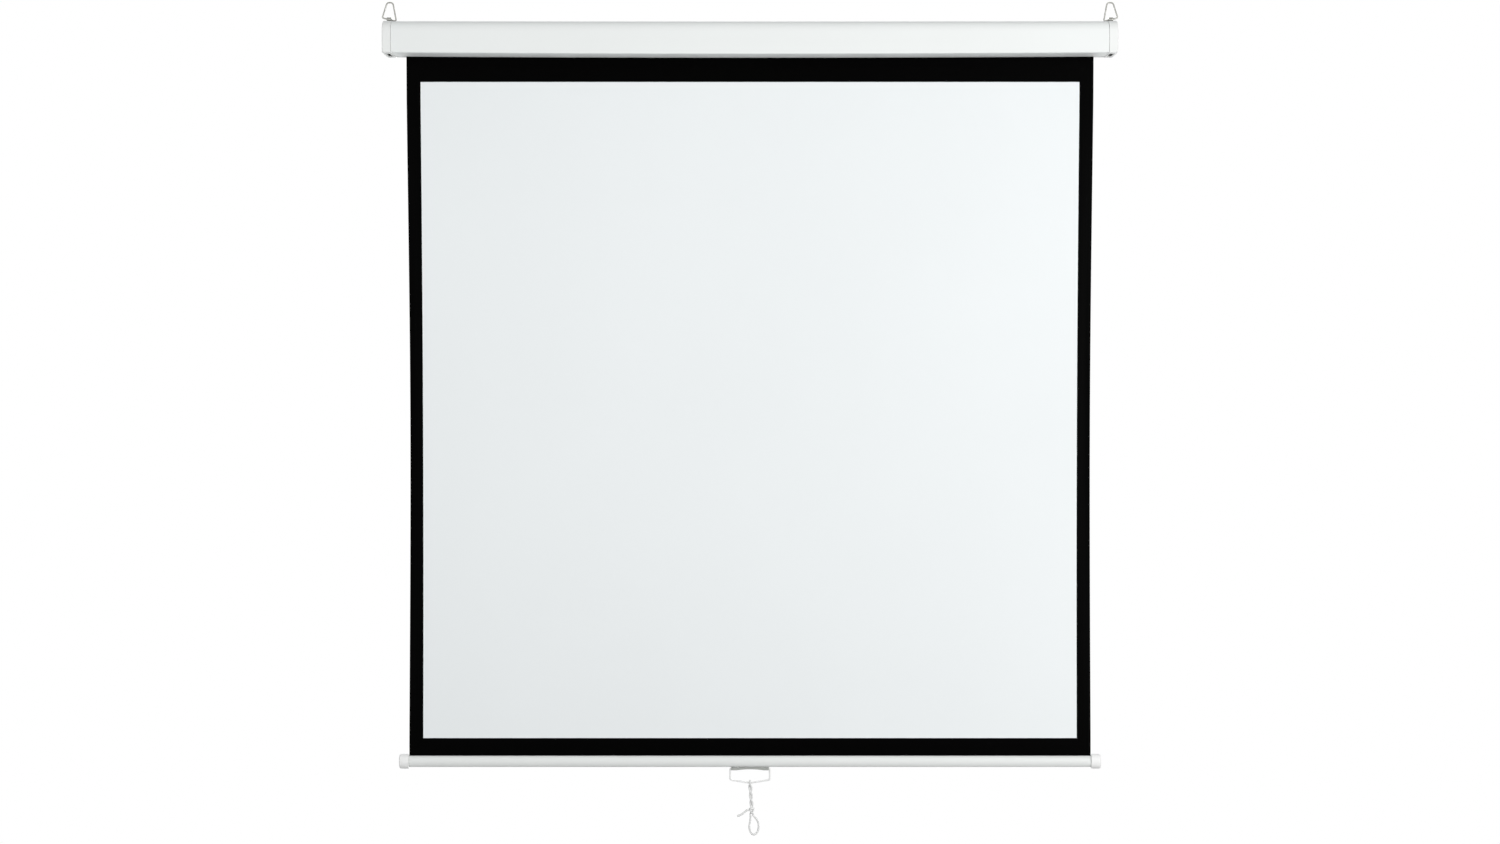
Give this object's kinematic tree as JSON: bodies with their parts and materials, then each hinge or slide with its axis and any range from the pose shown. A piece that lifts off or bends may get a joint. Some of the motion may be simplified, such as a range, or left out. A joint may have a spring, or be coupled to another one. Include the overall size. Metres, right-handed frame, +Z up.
{
  "type": "projector screen",
  "caption": "Manual pull-down projector screen: spring roller in a slim white case hung by wire rings, matt white face with black borders, weight bar, handle and pull cord.",
  "frame": {"origin": "midway between the two hanging rings, at the height where a hook bears on them, in the plane of the roller's axis", "axes": "+X to the viewer's right along the case, -Y towards the viewer (the white face), +Z up"},
  "size_m": [1.4104, 0.0676, 1.6104],
  "materials": {
    "white_painted_steel": "white semi-gloss paint on folded steel",
    "white_plastic": "white moulded plastic, fine satin",
    "zinc_plated_steel": "bright zinc plate, slightly dull",
    "plain_steel": "drawn steel, lightly oiled",
    "natural_nylon": "uncoloured nylon, matt",
    "matt_white_screen": "matt white coated screen fabric",
    "matt_black_screen": "matt black coated fabric",
    "white_braided_cord": "white braided cord"
  },
  "bodies": {
    "case": {"case_shell": "white_painted_steel", "end_cap_left": "white_plastic", "end_cap_right": "white_plastic", "end_bracket_left": "zinc_plated_steel", "end_bracket_right": "zinc_plated_steel", "cap_screw_left_lower": "zinc_plated_steel", "cap_screw_left_upper": "zinc_plated_steel", "cap_screw_right_lower": "zinc_plated_steel", "cap_screw_right_upper": "zinc_plated_steel", "spindle": "plain_steel", "ratchet_hub": "plain_steel", "counterbalance_spring": "plain_steel", "spring_anchor": "plain_steel", "idle_bush": "natural_nylon", "viewing_face": "matt_white_screen", "sheet_backing": "matt_black_screen"},
    "roller": {"roller_tube": "plain_steel", "sheet_turns": "matt_black_screen", "spring_end_plug": "natural_nylon", "pawl_pin_upper": "plain_steel", "pawl_pin_lower": "plain_steel", "inner_support": "natural_nylon", "idle_end_plug": "natural_nylon", "idle_pin": "plain_steel"},
    "upper_pawl": {"pawl_upper": "natural_nylon"},
    "lower_pawl": {"pawl_lower": "natural_nylon"},
    "left_ring": {"hanging_ring_left": "zinc_plated_steel"},
    "right_ring": {"hanging_ring_right": "zinc_plated_steel"},
    "lower_bar": {"weight_bar": "white_painted_steel", "hem_rod": "plain_steel", "bar_cap_left": "white_plastic", "bar_cap_right": "white_plastic", "handle_base": "white_plastic", "handle_screw_left": "zinc_plated_steel", "handle_screw_right": "zinc_plated_steel"},
    "handle": {"pull_handle": "white_plastic"},
    "cord": {"cord_strands": "white_braided_cord", "cord_knot": "white_braided_cord", "finger_loop": "white_braided_cord", "cord_tail": "white_braided_cord"}
  },
  "joints": [
    {"name": "screen_travel", "type": "slide", "parent": "case", "child": "lower_bar", "axis": [0, 0, 1], "range_m": [0, 1.34], "deforming": ["viewing_face", "sheet_backing"]},
    {"name": "roller_spin", "type": "hinge", "parent": "case", "child": "roller", "pos_m": [0, 0, -0.0674], "axis": [1, 0, 0], "range_deg": [0, 3600]},
    {"name": "left_ring_swing", "type": "hinge", "parent": "case", "child": "left_ring", "pos_m": [-0.691, 0, -0.031], "axis": [1, 0, 0], "range_deg": [-90, 90]},
    {"name": "right_ring_swing", "type": "hinge", "parent": "case", "child": "right_ring", "pos_m": [0.691, 0, -0.031], "axis": [1, 0, 0], "range_deg": [-90, 90]},
    {"name": "handle_swing", "type": "hinge", "parent": "lower_bar", "child": "handle", "pos_m": [0, 0.0218, -1.47655], "axis": [1, 0, 0], "range_deg": [-80, 80]},
    {"name": "cord_swing", "type": "hinge", "parent": "handle", "child": "cord", "pos_m": [0, 0.0218, -1.50455], "axis": [1, 0, 0], "range_deg": [-40, 40]},
    {"name": "upper_pawl_swing", "type": "hinge", "parent": "roller", "child": "upper_pawl", "pos_m": [-0.6723, 0, -0.0524], "axis": [1, 0, 0], "range_deg": [0, 18.8]},
    {"name": "lower_pawl_swing", "type": "hinge", "parent": "roller", "child": "lower_pawl", "pos_m": [-0.6723, 0, -0.0824], "axis": [1, 0, 0], "range_deg": [0, 18.8]}
  ],
  "couplings": [
    {"joint": "roller_spin", "follows": "screen_travel", "rad_per_m": 46.888}
  ]
}
